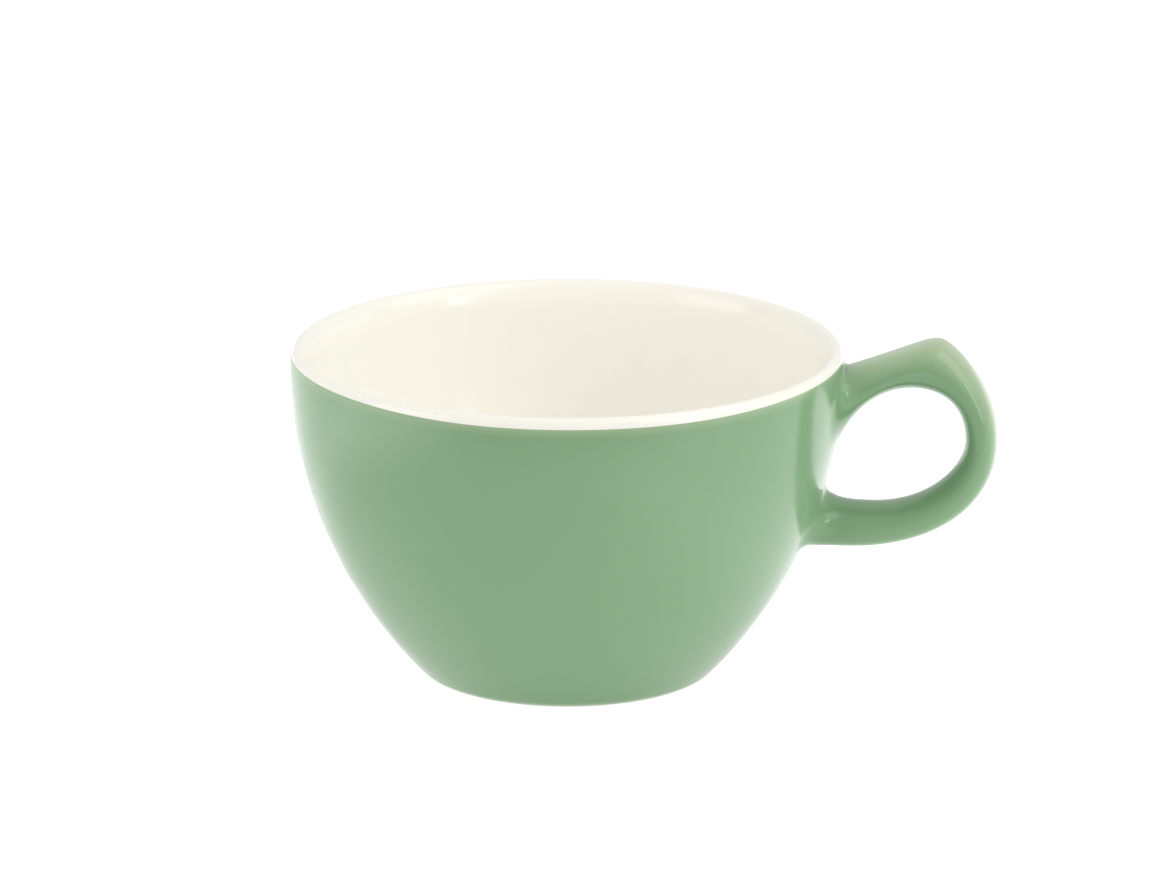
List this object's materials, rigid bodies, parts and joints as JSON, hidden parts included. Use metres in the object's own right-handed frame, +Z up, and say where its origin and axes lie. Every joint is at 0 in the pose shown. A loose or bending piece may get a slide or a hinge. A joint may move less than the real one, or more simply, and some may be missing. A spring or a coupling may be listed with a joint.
{
  "type": "coffee cup",
  "caption": "Round coffee cup of glazed ceramic: tapering bowl on a small foot ring, white inside, green outside, with an ear-shaped loop handle that rises above the rim.",
  "frame": {"origin": "middle of the cup's footprint on the plane that the foot rests on; the bowl's axis stands at x = -13.4 mm", "axes": "+X from the bowl towards the handle, +Z up out of the bowl's mouth, +Y completes the right-handed frame"},
  "size_m": [0.1228, 0.096, 0.061],
  "materials": {
    "bare_ceramic": "matte",
    "slip": "matte",
    "white_glaze": "gloss",
    "green_glaze": "gloss"
  },
  "bodies": {
    "root": {"bowl": "bare_ceramic", "handle": "bare_ceramic", "upper_slip": "slip", "lower_slip": "slip", "inner_glaze": "white_glaze", "outer_glaze": "green_glaze", "handle_glaze": "green_glaze", "base_glaze": "green_glaze"}
  },
  "joints": []
}
